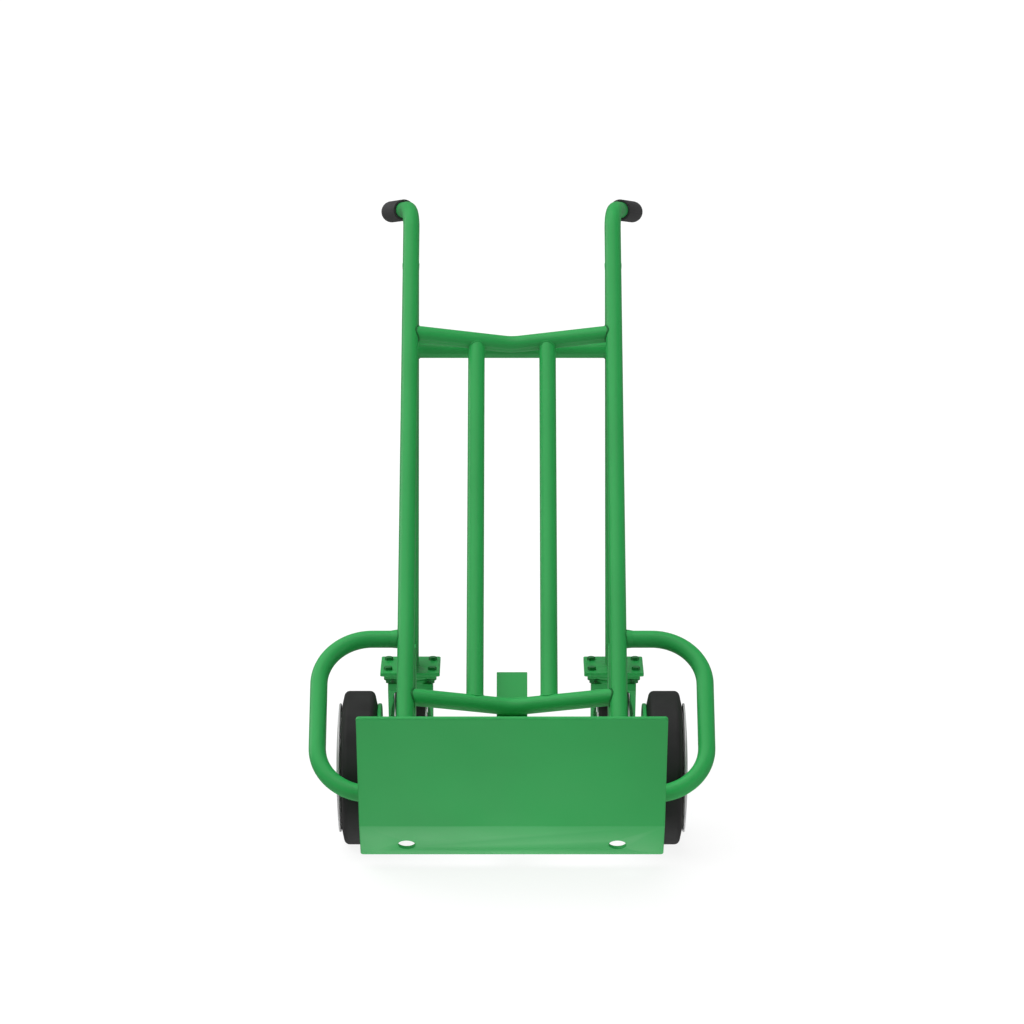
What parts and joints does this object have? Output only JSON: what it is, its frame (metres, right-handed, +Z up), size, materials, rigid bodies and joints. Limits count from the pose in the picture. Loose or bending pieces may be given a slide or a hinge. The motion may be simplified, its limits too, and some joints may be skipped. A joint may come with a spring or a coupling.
{
  "type": "bag and box truck",
  "caption": "Tubular hand truck for bags and boxes, leaning back on main wheels and swivel casters, with a broad bent nose plate, curved cross tubes, wheel guards and flared grips.",
  "frame": {"origin": "on the floor, at the middle of the truck's overall length and width", "axes": "+X to the left of a person at the handles, +Y back towards the handles, +Z up"},
  "size_m": [0.6654, 1.2104, 0.9589],
  "materials": {
    "green_paint": "satin",
    "grip_rubber": "matte",
    "tyre_rubber": "matte",
    "caster_rubber": "matte",
    "cover_silver": "satin",
    "core_silver": "satin",
    "plated_steel": "satin"
  },
  "bodies": {
    "frame": {"left_rail": "green_paint", "right_rail": "green_paint", "left_grip": "grip_rubber", "right_grip": "grip_rubber", "upper_cross_tube": "green_paint", "lower_cross_tube": "green_paint", "left_slat_tube": "green_paint", "right_slat_tube": "green_paint", "rear_cross_tube": "green_paint", "left_rear_leg": "green_paint", "right_rear_leg": "green_paint", "left_wheel_guard": "green_paint", "right_wheel_guard": "green_paint", "nose_plate": "green_paint", "centre_strap": "green_paint", "left_axle_bracket": "green_paint", "right_axle_bracket": "green_paint", "left_side_brace": "green_paint", "right_side_brace": "green_paint", "axle": "plated_steel", "axle_spacers": "plated_steel", "axle_washers": "plated_steel", "retaining_rings": "plated_steel", "left_caster_mount_plate": "green_paint", "right_caster_mount_plate": "green_paint", "caster_bolts": "green_paint", "caster_nuts": "green_paint", "left_caster_plate": "green_paint", "right_caster_plate": "green_paint", "left_kingpin": "plated_steel", "right_kingpin": "plated_steel", "left_kingpin_nut": "plated_steel", "right_kingpin_nut": "plated_steel"},
    "left_wheel": {"left_tyre": "tyre_rubber", "left_rim": "green_paint", "left_rim_cover": "cover_silver", "left_wheel_bearings": "plated_steel"},
    "left_caster": {"left_caster_fork": "green_paint", "left_caster_balls": "plated_steel", "left_caster_axle_bolt": "plated_steel", "left_caster_axle_nut": "plated_steel", "left_caster_sleeve": "plated_steel"},
    "left_caster_wheel": {"left_caster_wheel_core": "core_silver", "left_caster_tread": "caster_rubber", "left_caster_roller_bearing": "plated_steel"},
    "right_wheel": {"right_tyre": "tyre_rubber", "right_rim": "green_paint", "right_rim_cover": "cover_silver", "right_wheel_bearings": "plated_steel"},
    "right_caster": {"right_caster_fork": "green_paint", "right_caster_balls": "plated_steel", "right_caster_axle_bolt": "plated_steel", "right_caster_axle_nut": "plated_steel", "right_caster_sleeve": "plated_steel"},
    "right_caster_wheel": {"right_caster_wheel_core": "core_silver", "right_caster_tread": "caster_rubber", "right_caster_roller_bearing": "plated_steel"}
  },
  "joints": [
    {"name": "left_wheel_spin", "type": "hinge", "parent": "frame", "child": "left_wheel", "pos_m": [0.2515, -0.25959, 0.127], "axis": [1, 0, 0], "continuous": true},
    {"name": "left_caster_swivel", "type": "hinge", "parent": "frame", "child": "left_caster", "pos_m": [0.17565, 0.14341, 0.17875], "axis": [0, 0, 1], "continuous": true},
    {"name": "left_caster_wheel_spin", "type": "hinge", "parent": "left_caster", "child": "left_caster_wheel", "pos_m": [0.17565, 0.18441, 0.0762], "axis": [1, 0, 0], "continuous": true},
    {"name": "right_wheel_spin", "type": "hinge", "parent": "frame", "child": "right_wheel", "pos_m": [-0.2515, -0.25959, 0.127], "axis": [1, 0, 0], "continuous": true},
    {"name": "right_caster_swivel", "type": "hinge", "parent": "frame", "child": "right_caster", "pos_m": [-0.17565, 0.14341, 0.17875], "axis": [0, 0, 1], "continuous": true},
    {"name": "right_caster_wheel_spin", "type": "hinge", "parent": "right_caster", "child": "right_caster_wheel", "pos_m": [-0.17565, 0.18441, 0.0762], "axis": [1, 0, 0], "continuous": true}
  ]
}
